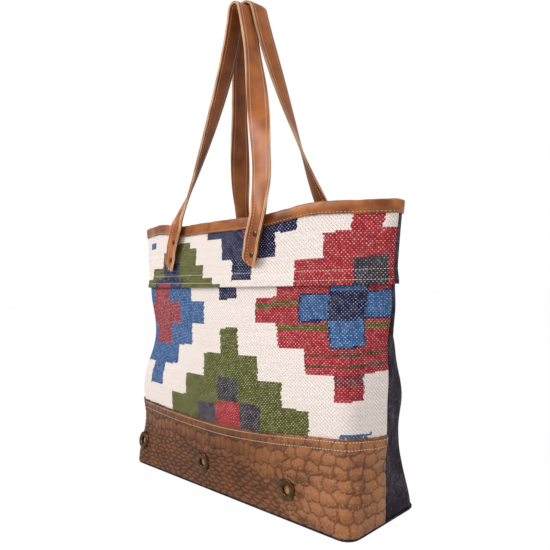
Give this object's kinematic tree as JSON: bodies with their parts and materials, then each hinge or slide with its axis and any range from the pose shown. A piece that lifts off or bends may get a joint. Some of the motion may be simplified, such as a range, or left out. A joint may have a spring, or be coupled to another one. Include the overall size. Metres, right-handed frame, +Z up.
{
  "type": "tote bag",
  "caption": "Open-topped shoulder tote with a woven front, canvas back and bottom, embossed leather base, bound rim and two strap handles.",
  "frame": {"origin": "on the floor under the middle of the bag's box", "axes": "+Z up through the handles, X along the bag's width, -Y towards its patterned front"},
  "size_m": [0.428, 0.1216, 0.582],
  "materials": {
    "kilim": "coarse flat-woven cotton with cream warp and dyed weft",
    "canvas": "dark charcoal twill canvas",
    "croc_leather": "crocodile-embossed brown leather, semi-gloss",
    "tan_leather": "smooth tan vegetable-tanned leather, satin",
    "strap_back": "tan leather, flesh side, matt",
    "lining": "plain dark cotton lining",
    "antique_brass": "antiqued brass, satin"
  },
  "bodies": {
    "root": {"front_upper_panel": "kilim", "front_lower_panel": "kilim", "back_upper_panel": "canvas", "back_lower_panel": "canvas", "bottom_panel": "canvas", "base_leather": "croc_leather", "base_backing": "tan_leather", "top_binding": "tan_leather", "lining": "lining", "front_handle_outer": "tan_leather", "front_handle_inner": "strap_back", "back_handle_outer": "tan_leather", "back_handle_inner": "strap_back", "front_rivet_left_lower": "antique_brass", "front_rivet_left_upper": "antique_brass", "front_rivet_right_lower": "antique_brass", "front_rivet_right_upper": "antique_brass", "back_rivet_left_lower": "antique_brass", "back_rivet_left_upper": "antique_brass", "back_rivet_right_lower": "antique_brass", "back_rivet_right_upper": "antique_brass", "eyelet_left": "antique_brass", "eyelet_middle": "antique_brass", "eyelet_right": "antique_brass"}
  },
  "joints": []
}
